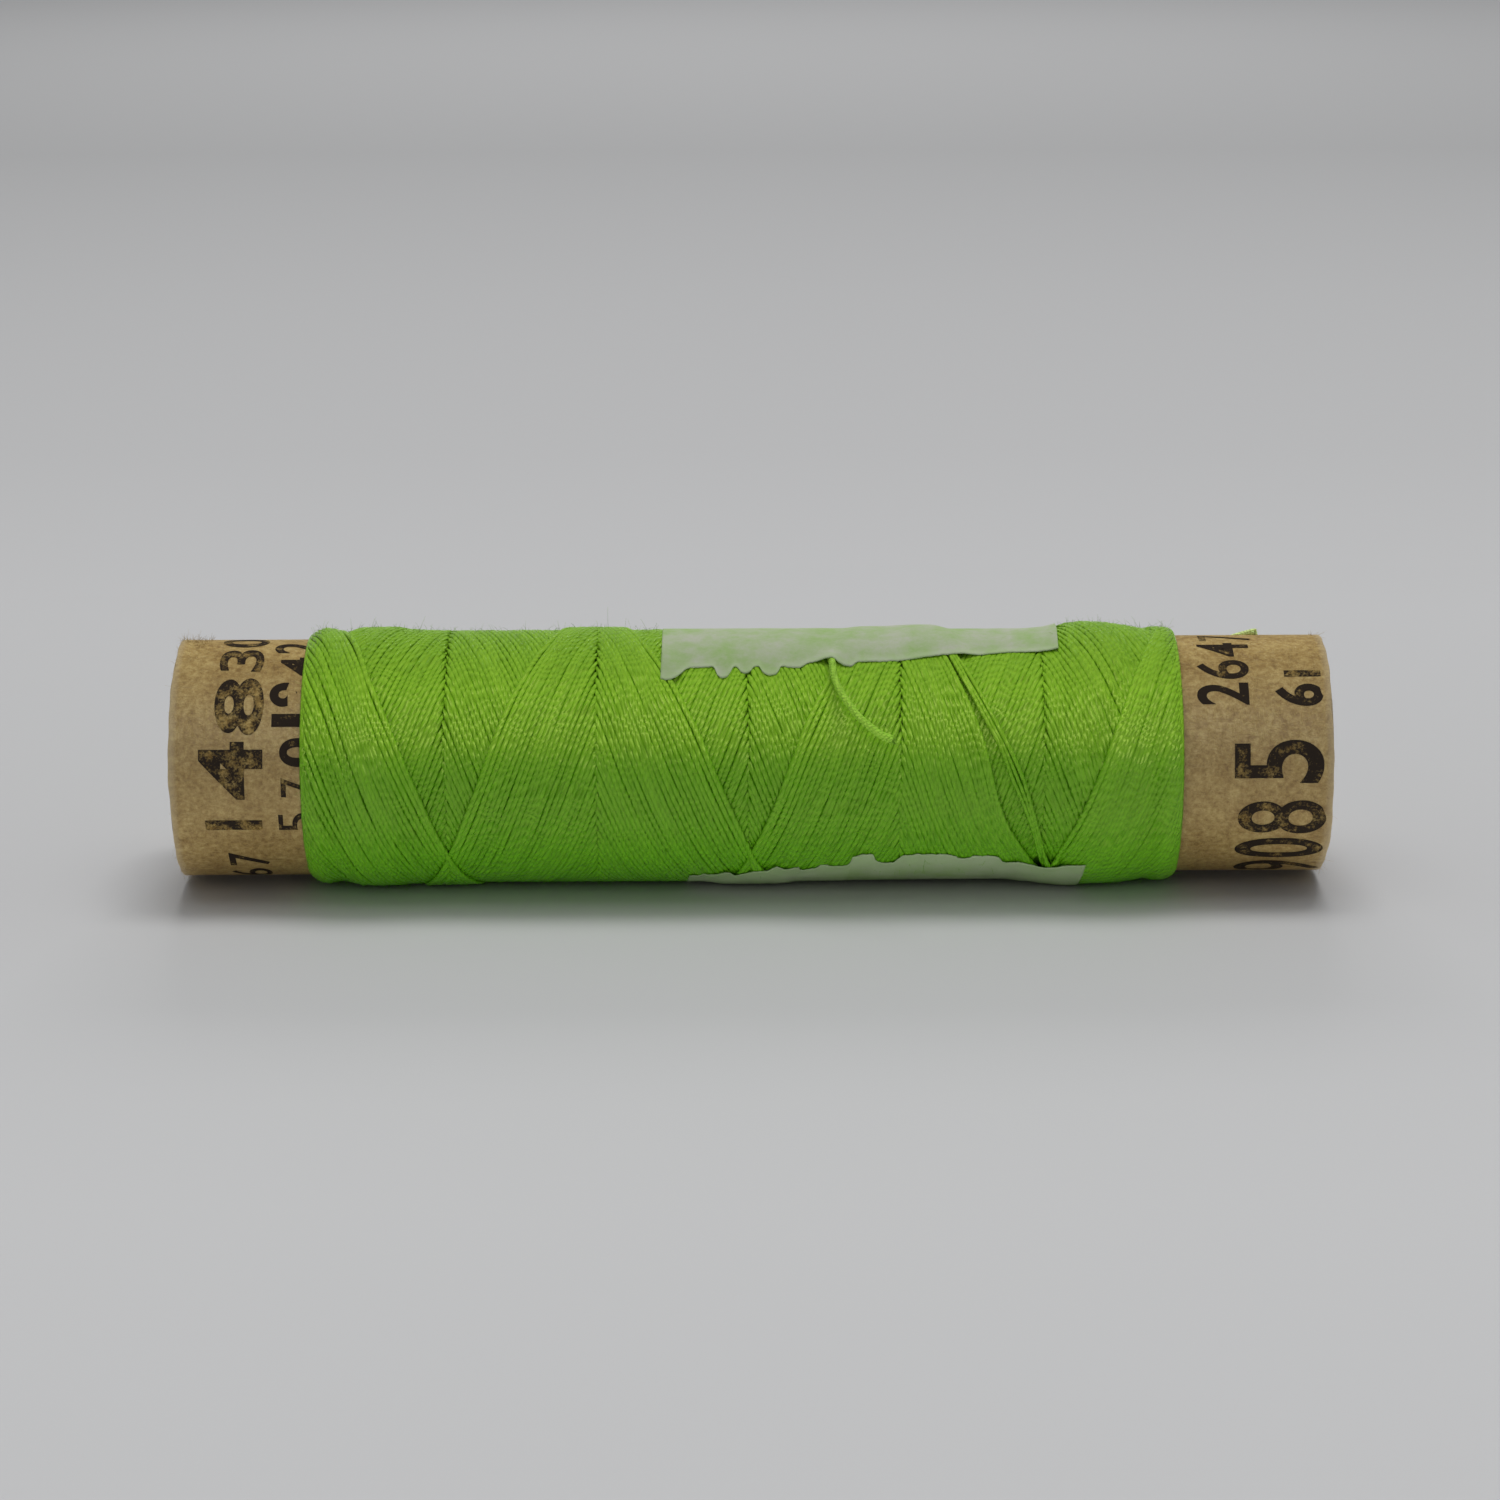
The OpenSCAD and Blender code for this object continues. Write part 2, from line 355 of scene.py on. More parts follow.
def select_only(pieces):
    """Selects pieces, with the first as the active one."""
    bpy.ops.object.select_all(action="DESELECT")
    for piece in pieces:
        piece.select_set(True)
    bpy.context.view_layer.objects.active = pieces[0]


def apply_modifier(piece, kind, **settings):
    """Gives the active piece a modifier and makes its result the mesh."""
    modifier = piece.modifiers.new(kind.lower(), kind)
    for name, value in settings.items():
        setattr(modifier, name, value)
    bpy.ops.object.modifier_apply(modifier=modifier.name)


def in_edit_mode(operation, **settings):
    """Does an operation on all of the active mesh."""
    bpy.ops.object.mode_set(mode="EDIT")
    bpy.ops.mesh.select_all(action="SELECT")
    operation(**settings)
    bpy.ops.object.mode_set(mode="OBJECT")


def cut_mesh(cuts):
    """Cuts all of the active mesh by planes, each a point and a normal."""
    bpy.ops.object.mode_set(mode="EDIT")
    for point, normal in cuts:
        bpy.ops.mesh.select_all(action="SELECT")
        bpy.ops.mesh.bisect(plane_co=point, plane_no=normal)
    bpy.ops.object.mode_set(mode="OBJECT")


def grid_faces(rows, columns, closed):
    """Faces between neighbours in a grid of points. A closed grid also joins its ends both ways."""
    i, j = np.meshgrid(np.arange(rows - 1 + closed), np.arange(columns - 1 + closed), indexing="ij")
    i, j = i.ravel(), j.ravel()
    ahead, beside = (i + 1) % rows, (j + 1) % columns
    corners = ((i, j), (ahead, j), (ahead, beside), (i, beside))
    return np.stack([row * columns + column for row, column in corners], 1)


def piece_from_grid(name, points, faces, uvs, attributes):
    totals = np.full(len(faces), 4)
    return piece_from_arrays(name, points.reshape(-1, 3), faces.ravel(), totals, uvs, attributes)


def sweep_threads(name, threads, sides=THREAD_SIDES):
    """Sweeps every thread into a closed tube. A thread is its points, its half width and half
    height at each, and its shade, which is one value or one at each point. The UV map runs in
    millimetres along and once around."""
    turn = np.arange(sides) * 2 * math.pi / sides
    across, above = (np.sign(v) * np.abs(v) ** 0.85 for v in (np.cos(turn), np.sin(turn)))
    points, loops, totals, uvs, shades = [], [], [], [], []
    first = 0
    for path, half_width, half_height, shade in threads:
        count = len(path)
        _, side, up = axes_along(path)
        ring = (
            path[:, None]
            + side[:, None] * (half_width[:, None] * across)[..., None] * MM
            + up[:, None] * (half_height[:, None] * above)[..., None] * MM
        )
        points.append(ring.reshape(-1, 3))
        run = run_along(path)
        i, j = np.meshgrid(np.arange(count - 1), np.arange(sides), indexing="ij")
        i, j = i.ravel(), j.ravel()
        k = (j + 1) % sides
        quads = np.stack([i * sides + j, i * sides + k, (i + 1) * sides + k, (i + 1) * sides + j], 1)
        loops.append(first + quads.ravel())
        totals.append(np.full(len(quads), 4))
        u = np.stack([run[i], run[i], run[i + 1], run[i + 1]], 1)
        v = np.stack([j, j + 1, j + 1, j], 1) / sides
        uvs.append(np.stack([u, v], -1).reshape(-1, 2))
        for end, order in ((0, 1), (count - 1, -1)):
            loops.append(first + end * sides + np.arange(sides)[::-order])
            totals.append([sides])
            uvs.append(np.stack([np.full(sides, run[end]), np.arange(sides) / sides], 1))
        shades.append(np.repeat(np.broadcast_to(shade, count), sides))
        first += count * sides
    return piece_from_arrays(
        name, np.concatenate(points), np.concatenate(loops), np.concatenate(totals),
        np.concatenate(uvs), {"shade": np.concatenate(shades)},
    )


# ---- The wound thread ----

# How the thread is laid, in millimetres and degrees: its lead in a turn, the round trips that
# cover the winding, the turns of one way, and how gently it turns back at both ends
LEAD = 14.91
THREADS = 59
TRAVERSE_TURNS = 3
STROKE = TRAVERSE_TURNS * LEAD
STROKE_MID = -0.05
TRIP = 720 * TRAVERSE_TURNS
NEWEST_ANGLE = 141.0
AGE_ANGLE = 360 / THREADS
EASE_LEFT = 14.0
EASE_RIGHT = 46.0
# The thread's half width and half height, and the radii at which its layers lie
THREAD_W = 0.152
THREAD_H = 0.098
OLD_R = 6.18
LAYER_STEP = 0.14
UNDER_DROP = 0.19
REST_Z = FLOOR_Z + 0.03 + THREAD_W

# From where threads lie loose towards the winding's ends, and how many loose strands cross the
# others at the right
LEFT_LOOSE = -16.5
RIGHT_LOOSE = 15.5
LOOSE_COUNT = 3
# Where those strands lie higher, where the newest thread dips, and where older ones lie wider
RIGHT_CROSSING = (7, 8.5, 15.2, 16.2)
NEWEST_DIP = (14.7, 15.5, 17.5, 19)
WIDER_THREADS = (10, 13, 18, 20)
# The column of crossings in which threads are pinched most, and the height over the axis, as a
# share of the radius, above which they are
PINCHED_COLUMN = 7.4
UPPER_SIDE = 0.32
# Angle over which a thread moves aside at a reversal
LANE_CHANGE = 120
# The number of the thread's plies, and the radius of the layers under the outer ones
PLIES = 3
CORE_R = 6.02

# The winding's rounded ends: their length along the tube, their drop in radius, and its power
LEFT_SHOULDER = (1.1, 0.52, 2.4)
RIGHT_SHOULDER = (1.2, 0.45, 2.6)

# Extra thickness where the thread lies a little thicker or thinner, by place along the tube
BUILD_UP = (
    (-22.1, 0), (-21.2, 0), (-20.6, -0.15), (-20.2, -0.13), (-19.4, 0.14), (-17.8, 0.15),
    (-17.1, 0.03), (-15.4, -0.05), (3, -0.05), (6, -0.1), (14, -0.12), (15.3, -0.05), (15.7, 0.1),
    (16.6, 0.22), (17.6, 0.18), (18.6, 0.04), (19.6, -0.15), (20.4, 0), (21.2, 0.05),
)

rng = np.random.default_rng(20)


def along_winding(phi):
    """Place along the tube after winding through an angle from the left reversal."""
    half = TRIP / 2
    fold = half - np.abs(np.mod(phi, TRIP) - half)
    from_left = np.where(fold < EASE_LEFT, EASE_LEFT / 2 + fold**2 / (2 * EASE_LEFT), fold)
    back = half - fold
    eased = half - (EASE_RIGHT / 2 + back**2 / (2 * EASE_RIGHT))
    from_left = np.where(back < EASE_RIGHT, eased, from_left)
    return STROKE_MID - STROKE / 2 + LEAD * from_left / 360


def age_of(turned):
    """Age, from 0 for the newest to 1, of a thread that lies some angle behind the newest one."""
    half = AGE_ANGLE / 2
    return (np.mod(turned + half, 360) - half) / 360


def ages_at(x, angle):
    """Ages of the thread wound towards the right and the one wound back at a place."""
    run = (x - STROKE_MID + STROKE / 2) * 360 / LEAD
    behind = NEWEST_ANGLE + AGE_ANGLE / 2 - angle
    return age_of(run + behind), age_of(TRIP - run + behind)


def wander(age, phi):
    """How far a thread strays along the tube, together with its neighbours."""
    turn = np.radians(phi)
    return (
        0.028 * np.sin(turn * 1.13 + age * 0.31 + 0.6)
        + 0.022 * np.sin(turn * 2.37 - age * 0.47 + 2.1)
        + 0.02 * np.sin(turn * 0.61 + age * 0.75 + 4.0)
    )


# Where threads leave their even places, in millimetres along the tube. The tables of the
# newest rising and falling threads, and of the drift of the older ones, go by place along the
# tube. That of the loose strands at the right crossing goes by angle, and holds the first
# strand, the third, and the edge of the even threads behind them.
STRAY_RISING = (
    (-12, 0), (-10, 0.2), (-8.6, 0), (2.6, 0), (3.7, 0.25), (4.8, 0), (13.4, 0.1), (14.7, 0.24),
    (16, 0.31), (16.5, 0.38), (17, 0.46), (17.9, 0.44), (20, 0.2),
)
STRAY_FALLING = (
    (-20.6, 0), (-18.5, -0.32), (-16.5, 0), (-6.6, -0.45), (-6, -0.65), (-4.6, -0.65), (-2.7, -0.18),
    (-1, 0),
)
DRIFT = ((-22.4, 0), (-15, 0.06), (0, 0.1), (7.4, 0.15), (14.9, 0.57), (22.4, 0.35))
LOOSE_STRANDS = (
    (-85, 0, 0, 0), (-60, -0.35, -0.3, -0.4), (-46, -0.5, -0.33, -0.62), (-35, -0.42, -0.2, -0.78),
    (-19, -0.2, 0.06, -1.01), (-7, -0.05, 0.09, -0.96), (4, 0, 0.02, -0.77), (18, -0.1, 0.02, -0.57),
    (35, -0.39, -0.27, -0.49), (50, -0.55, -0.45, -0.56), (65, -0.66, -0.42, -0.48),
    (95, -0.4, -0.3, -0.3), (130, 0, 0, 0),
)


def loose_stray(k, angle):
    """Stray of a falling thread by its rank at the right crossing."""
    around, *strays = np.array(LOOSE_STRANDS).T
    angle = np.mod(angle + 180, 360) - 180
    first, third, edge = (np.interp(angle, around, stray) for stray in strays)
    if k < LOOSE_COUNT:
        return first + (third - first) * k / (LOOSE_COUNT - 1)
    return edge * math.exp(-(k - LOOSE_COUNT) / 9)


def steps_round():
    """Angles along one round trip, close together where threads dive under each other."""
    near = [1.5, 3, 4.5, 6.5, 10, 15]
    offsets = np.array([-v for v in near[::-1]] + [0] + near + list(np.arange(21, 163, 5.9)))
    phi = (np.arange(0, TRIP + 1, 180)[:, None] + offsets).ravel()
    return phi[(phi >= 0) & (phi <= TRIP)]


def rounding(x):
    """Drop in radius where the winding's ends round over."""
    ends = ((x - WINDING_LEFT, LEFT_SHOULDER), (WINDING_RIGHT - x, RIGHT_SHOULDER))
    return sum(
        drop * np.clip(1 - inward / length, 0, 1) ** power for inward, (length, drop, power) in ends
    )


def waves(turn, phases, kinds):
    """Sine waves round the winding, each with its height and its number in a turn."""
    return sum(high * np.sin(turn * often + phase) for (high, often), phase in zip(kinds, phases))


def stray_of(k, phi, x, angle, phases):
    """How far a thread lies from its even place along the tube."""
    turn = np.radians(phi)
    slack = rng.choice([0.01, 0.01, 0.014, 0.032])
    stray = wander(k, phi)
    stray += waves(turn, phases, ((slack, 1.9), (0.011, 6.1), (0.01, 9.7), (0.008, 14.3)))
    stray += 0.045 * ramp(x, LEFT_LOOSE, LEFT_LOOSE - 3) * np.sin(turn * 1.4 + phases[6])
    stray += 0.035 * ramp(x, RIGHT_LOOSE, RIGHT_LOOSE + 3) * np.sin(turn * 1.7 + phases[7])
    rising = from_table(STRAY_RISING, x) * math.exp(-k / 5)
    if k == 0:
        rising -= 0.1 * plateau(x, NEWEST_DIP)
    falling = from_table(STRAY_FALLING, x) * math.exp(-k / 9)
    falling += loose_stray(k, angle) * ramp(x, 7.5, 9.5) * (x < 17)
    stray += np.where(phi < TRIP / 2, rising, falling)
    return stray - from_table(DRIFT, x) * ramp(k, 6, 24)


def pinch(x, angle, lead):
    """Share of its width that a thread keeps where it meets one of nearly its own age."""
    upper = 0.5 + 0.5 * np.tanh((np.sin(np.radians(angle)) - UPPER_SIDE) * 6)
    in_column = np.exp(-(((x - PINCHED_COLUMN) / 1.5) ** 2))
    return 1 - (0.14 + (0.3 + 0.16 * in_column) * upper) * np.exp(-(lead**2))


def wound_threads():
    """The paths of the top two layers: 59 round trips, newest first. A thread moves over to the
    next one's place in two halves, at its right and its left reversal."""
    threads = []
    phi = steps_round()
    turn = np.radians(phi)
    goes_right = phi < TRIP / 2
    even_x = along_winding(phi)
    moved_right = ramp(phi, (TRIP - LANE_CHANGE) / 2, (TRIP + LANE_CHANGE) / 2)
    moved_left = ramp(phi, TRIP - LANE_CHANGE, TRIP)
    for k in range(THREADS):
        angle = phi + NEWEST_ANGLE - AGE_ANGLE * (k - (moved_right + moved_left) / 2)
        phases = rng.uniform(0, 2 * math.pi, 8)
        stray = stray_of(k, phi, even_x, angle, phases)

        # The newer one of two crossing threads lies over the other
        rising, falling = ages_at(even_x, angle)
        crossed = np.where(goes_right, falling, rising)
        own = (k + 0.5 * goes_right) / THREADS
        lead = (crossed - own) * THREADS
        over = ramp(lead, -0.8, 0.8)
        newness = (1 - own) + (1 - crossed)
        r = OLD_R + LAYER_STEP * newness - UNDER_DROP * (1 - over)
        r += waves(turn, phases[4:], ((0.008, 4.3), (0.006, 11.0)))
        x = np.clip(even_x + stray, WINDING_LEFT + THREAD_W, WINDING_RIGHT - THREAD_W)
        r += from_table(BUILD_UP, x) * np.clip(over, 0.6, 1) - rounding(x)
        r += 0.12 * own * ramp(x, 14.2, 15.7)

        # The loose strands at the right crossing are rounder and lie higher
        at_crossing = plateau(x, RIGHT_CROSSING) * ~goes_right
        round_strand = at_crossing * (k < LOOSE_COUNT)
        beside = at_crossing * (k >= LOOSE_COUNT) * math.exp(-(k - LOOSE_COUNT) / 4)
        r += 0.07 * round_strand + 0.09 * beside

        path = polar(x, angle, r)
        keep_above(path, REST_Z)
        width = THREAD_W * rng.uniform(0.97, 1.04) * pinch(x, angle, lead) * (1 - 0.3 * round_strand)
        height = width * THREAD_H / THREAD_W * (1 + 0.5 * round_strand)
        width *= 1 + 0.09 * ramp(x, 14.5, 16.5)
        if k > 5:
            width *= 1 + 0.07 * plateau(x, WIDER_THREADS)
        # The three newest strands take the lightest tone all along: painted light where they lie loose on
        # top at the right crossing
        threads.append((path, width, height, 1 if k < LOOSE_COUNT else rng.uniform()))
    return threads


def shoulder_turns():
    """Reversals of the layer beneath, which show at the winding's rounded ends."""
    threads = []
    for side, middle, edge in ((-1, 0, WINDING_LEFT), (1, TRIP / 2, WINDING_RIGHT)):
        phi = middle + np.arange(-96, 97, 8.0)
        even_x = along_winding(np.mod(phi, TRIP))
        for k in range(THREADS):
            angle = phi + NEWEST_ANGLE + 37 - AGE_ANGLE * (k + 0.5)
            x = even_x - side * (0.1 + 0.02 * np.sin(np.radians(phi * 3) + k))
            x = side * np.minimum(side * x, side * edge - 0.18)
            r = OLD_R - 0.12 - rounding(x + side * 0.12) + 0.02 * math.sin(k * 2.4)
            path = polar(x, angle, r)
            keep_above(path, REST_Z + 0.1)
            width = np.full(len(phi), THREAD_W)
            threads.append((path, width, width * 0.75, rng.uniform()))
    return threads


# The thread's colours, how long its twist is, and its painted light and shade by height over the spool
THREAD_DARK = (0.09, 0.3, 0.005)
THREAD_PALE = (0.15, 0.43, 0.0105)
TWIST_LENGTH = 1.41
PAINTED_LIGHT_HEIGHT = 6.5
PAINTED_LIGHT_TINTS = (
    (0.1, (1.42, 1.45, 1.2)), (0.177, (1.2, 1.24, 1)), (0.292, (0.97, 1, 0.75)),
    (0.423, (0.87, 0.91, 0.65)), (0.531, (0.93, 0.97, 0.75)), (0.6, (1.15, 1.08, 1.1)),
    (0.677, (1.65, 1.26, 1.9)), (0.846, (1.88, 1.32, 2.3)), (0.985, (1.55, 1.07, 1.9)),
)


def thread_material(name, tint=1.0, pale=0.0):
    """Lime spun thread: plies twisted together and a soft sheen, with painted light by height, lighter and
    paler near the top, lighter near the bottom and darker around the middle.
    """
    material, tree, shader = new_material(name, 0.36, 0.8)
    shader.inputs["Specular Tint"].default_value = (0.92, 1, 0.3, 1)
    shader.inputs["Sheen Weight"].default_value = 0.04
    shader.inputs["Sheen Roughness"].default_value = 0.4
    shader.inputs["Sheen Tint"].default_value = (0.5, 0.9, 0.15, 1)
    where = object_place(tree)
    on_thread = add_node(tree, "UVMap", "UV", {}, uv_map="along")
    along, around = (coordinate(tree, on_thread, axis) for axis in "XY")
    shade = point_value(tree, "shade")

    turns = calculate(tree, "MULTIPLY_ADD", along, 1 / TWIST_LENGTH, around)
    turns = calculate(tree, "MULTIPLY_ADD", shade, 7, turns)
    turns = calculate(tree, "MULTIPLY_ADD", noise(tree, where, 700, 1), 1.2, turns)
    plies = calculate(tree, "SINE", calculate(tree, "MULTIPLY", turns, PLIES * 2 * math.pi))
    fibres = noise(tree, where, 9000, 3)

    tone = calculate(tree, "MULTIPLY", noise(tree, where, 2200, 4), 0.55)
    # The plies' twist makes the tone lighter on their crests and darker in their grooves: painted light
    # and shade
    for part, share in ((shade, 0.3), (plies, 0.16), (fibres, 0.25)):
        tone = calculate(tree, "MULTIPLY_ADD", part, share, tone)
    dark, bright = ([tint * part for part in colour] for colour in (THREAD_DARK, THREAD_PALE))
    colour = colour_ramp(tree, tone, ((0.1, dark), (1.0, bright)))
    # Painted light and shade: a tint by height, lighter near the top and the bottom, darker around the
    # middle
    up = map_range(tree, coordinate(tree, where, "Z"), -PAINTED_LIGHT_HEIGHT * MM, PAINTED_LIGHT_HEIGHT * MM)
    colour = mix_colours(tree, 1.0, colour, colour_ramp(tree, up, PAINTED_LIGHT_TINTS), "MULTIPLY")
    colour = mix_colours(tree, pale, colour, (0.78, 0.9, 0.4, 1))
    finish_shader(tree, shader, colour, 0.65, calculate(tree, "MULTIPLY_ADD", fibres, 1.6, plies))
    return material


lime_thread = thread_material("lime_thread")
# The thread of the layers beneath is painted darker: painted shade where it shows through gaps
painted_shade_thread = thread_material("shaded_thread", 0.55)

newest_first = wound_threads()
winding = [
    sweep_threads("thread_newest_turns", newest_first[:20]),
    sweep_threads("thread_newer_turns", newest_first[20:40]),
    sweep_threads("thread_older_turns", newest_first[40:]),
    sweep_threads("thread_shoulder_turns", shoulder_turns()),
]
for turns in winding:
    turns.data.materials.append(lime_thread)
    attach(turns, "root")
    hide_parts("outer_turns")


def add_thread_core():
    """The layers under the outer ones, seen only through gaps, with rounded shoulders."""
    x = np.concatenate([
        WINDING_LEFT + 0.3 + np.array([0, 0.15, 0.4, 0.8, 1.2]),
        WINDING_RIGHT - 0.3 - np.array([1.3, 0.9, 0.5, 0.2, 0]),
    ])
    r = np.pad(np.maximum(CORE_R - rounding(x), TUBE_R), 1, constant_values=TUBE_R)
    x, angle = np.meshgrid(np.pad(x, 1, "edge"), np.arange(0, 360, 3.0), indexing="ij")
    points = polar(x, angle, r[:, None])
    keep_above(points, FLOOR_Z + 0.02)
    faces = grid_faces(*x.shape, closed=True)
    row, column = np.divmod(faces[:, 0], x.shape[1])
    uvs = np.repeat(np.stack([row, column / x.shape[1]], -1), 4, 0)
    shade = {"shade": np.full(x.size, 0.5)}
    return piece_from_grid("thread_core", points, faces, uvs, shade)


core = add_thread_core()
# Painted shade: the darker thread on the core
core.data.materials.append(painted_shade_thread)
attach(core, "root")
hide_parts("winding_body")


# ---- The thread's two ends ----

# Three twisted plies: how far they lie from the middle, their half width, the length of their
# twist, and the length over which they open at the tip
PLY_SPREAD = 0.082
PLY_W = 0.112
PLY_PITCH = 0.6
OPEN_LENGTH = 0.8


def smooth_route(route, steps):
    """More points on a smooth curve through a few."""
    route = np.array(route, dtype=float)
    t = np.arange(len(route))
    fine = np.linspace(0, len(route) - 1, steps)
    out = np.stack([np.interp(fine, t, column) for column in route.T], 1)
    for _ in range(6):
        out[1:-1] = out[1:-1] / 2 + (out[:-2] + out[2:]) / 4
    return out


def twisted_plies(route, steps):
    """Three plies twisted round a route of places, angles and radii, opening a little at its end."""
    x, angle, r = smooth_route(route, steps).T
    path = polar(x, angle, r)
    ahead, side, up = axes_along(path)
    run = run_along(path)
    spread = PLY_SPREAD + 0.05 * ramp(run, run[-1] - OPEN_LENGTH, run[-1]) ** 2
    width = np.full(steps, PLY_W)
    width[-2:] *= 0.8
    plies = []
    for k in range(PLIES):
        turn = (run / PLY_PITCH + k / PLIES) * 2 * math.pi
        ply = path + (side * (spread * np.cos(turn))[:, None] + up * (spread * np.sin(turn))[:, None]) * MM
        # The plies are darker at the root and lighter towards the tip
        plies.append((ply, width, width, np.linspace(0.1, 1.6, steps)))
    return plies, path, ahead


def fray(path, ahead, count, length, spread):
    """Loose fibres that splay from the last point of a thread."""
    fibres = []
    width = np.linspace(0.014, 0.006, 6)
    t = np.linspace(0, 1, len(width))[:, None]
    for _ in range(count):
        start = path[-3] + rng.normal(0, 0.05, 3) * MM
        way = unit(ahead[-1] + rng.normal(0, spread, 3))
        bend = rng.normal(0, 0.35, 3)
        reach = length * rng.uniform(0.4, 1.0)
        points = start + (way * t + bend * t**2 * 0.5) * reach * MM
        fibres.append((points, width, width, rng.uniform(0.6, 1)))
    return fibres


# Routes of the two ends, as places along the tube, angles round it and radii
FREE_END = [
    (3.9, 67, 6.15), (3.95, 64.5, 6.25), (3.98, 62, 6.36), (4.0, 59, 6.5), (4.0, 54.8, 6.65),
    (4.06, 48.9, 6.8), (4.27, 43.1, 6.88), (4.5, 38.9, 6.94), (4.8, 34.9, 7.01), (5.13, 30.9, 7.08),
    (5.47, 27.8, 7.14), (5.81, 25.4, 7.18), (6.15, 23.2, 7.22), (6.38, 22.1, 7.24),
    (6.62, 21.2, 7.26), (6.84, 20.4, 7.28),
]
START_END = [
    (21.4, 150, 6.0), (21.75, 150, 6.02), (22.2, 147, 6.02), (22.7, 142, 6.02), (23.2, 136, 6.02),
    (23.7, 129, 5.98), (24.2, 122, 5.97), (24.6, 116, 5.97), (25.0, 111, 6.0), (25.35, 106, 6.03),
]

plies, free_path, free_ahead = twisted_plies(FREE_END, 120)
plies += fray(free_path, free_ahead, 60, 0.36, 0.5)
free_end = sweep_threads("thread_free_end", plies)

plies, start_path, start_ahead = twisted_plies(START_END, 90)
plies += fray(start_path, start_ahead, 14, 0.25, 0.3)
starting_end = sweep_threads("thread_starting_end", plies)

# Both ends are lighter than the winding's thread. The starting end is much paler still: painted light that
# stands in for light shining through it
for end, node, tint, pale in ((free_end, "thread_end", 1.2, 0.08), (starting_end, "start_end", 1.4, 0.8)):
    end.data.materials.append(thread_material("loose_" + node, tint, pale))
    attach(end, "root")
    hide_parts(node)


# ---- The torn paper band ----

# The band's two torn edges at the front, as places along the tube and angles round it
TORN_TOP = [
    (-4.42, 50.8), (-4.17, 49.9), (-3.91, 50.3), (-3.64, 51.5), (-3.42, 53.8), (-3.22, 56.5),
    (-2.99, 57.9), (-2.4, 58.1), (-1.87, 58.4), (-1.75, 56.8), (-1.64, 53.4), (-1.47, 51.9),
    (-1.31, 51.8), (-1.11, 52.6), (-0.95, 56.3), (-0.87, 58.3), (-0.75, 58.7), (-0.62, 57.5),
    (-0.52, 55.6), (-0.35, 54.4), (-0.19, 54.6), (-0.02, 55.5), (0.08, 57.5), (0.24, 58.5),
    (0.44, 58.5), (0.54, 55.5), (0.7, 53.8), (0.96, 52.9), (1.26, 53.8), (1.39, 56.2),
    (1.46, 58.4), (1.59, 58.7), (1.76, 58.1), (2.09, 57.6), (2.42, 57.6), (2.62, 58.9),
    (2.82, 60.5), (3.15, 61.1), (3.68, 61.5), (3.97, 61.4), (4.14, 60.4), (4.33, 58.8),
    (4.59, 57.6), (4.95, 57.2), (5.06, 58.3), (5.19, 60.0), (5.39, 60.1), (7.42, 61.0),
    (10.08, 64.6), (12.88, 68.1), (14.27, 68.0), (15.13, 68.2),
]
TORN_BOTTOM = [
    (-3.0, -54.3), (-2.65, -54.4), (-2.52, -52.4), (-2.29, -53.7), (-1.85, -52.8), (-1.45, -49.2),
    (-1.21, -48.4), (-0.98, -51.0), (-0.51, -48.9), (-0.05, -46.6), (0.22, -47.2), (0.62, -47.0),
    (0.88, -45.1), (1.08, -43.7), (1.28, -45.8), (1.62, -47.1), (2.08, -45.8), (2.13, -43.5),
    (2.25, -47.8), (2.41, -48.2), (2.61, -46.9), (3.08, -46.5), (3.21, -44.1), (3.54, -43.6),
    (3.81, -44.8), (4.01, -45.4), (4.54, -44.8), (4.7, -42.5), (4.76, -37.9), (5.05, -36.0),
    (5.78, -35.6), (5.87, -39.9), (6.06, -42.1), (6.46, -42.9), (6.83, -42.2), (6.96, -40.2),
    (7.23, -36.6), (7.78, -36.1), (8.48, -35.9), (9.45, -36.2), (9.87, -37.3), (9.98, -39.1),
    (10.43, -39.4), (10.7, -37.8), (11.26, -37.9), (11.74, -37.4), (12.02, -38.5), (12.22, -42.0),
    (13.02, -41.8), (13.37, -43.0), (14.07, -43.6), (14.77, -44.3), (15.11, -43.4), (15.79, -41.5),
    (16.65, -39.9),
]

# The ends of the upper and of the lower edge, the angles that the band covers, its width and
# thickness, and the place where the free end comes out from under it
BAND_LEFT = -4.42
BAND_RIGHT = 15.2
LOWER_LEFT = -3.2
LOWER_RIGHT = 16.3
BAND_FROM = 52
BAND_TO = 306
BAND_W = 19.6
BAND_T = 0.04
ROOT_X = 3.96
ROOT_ANGLE = 61.5
MM_PER_DEGREE = 0.116
# Cells of the grid that holds the winding's height, and how many of them the paper spans
CELL_X = 0.2
CELL_ANGLE = 2.0
SPAN_X = 2
SPAN_ANGLE = 3


def winding_envelope(x, angle):
    """Outer radius of the wound thread at a place."""
    rising, falling = ages_at(x, angle)
    even = OLD_R + THREAD_H + LAYER_STEP * (2 - rising - falling)
    return even + from_table(BUILD_UP, x) - rounding(x)


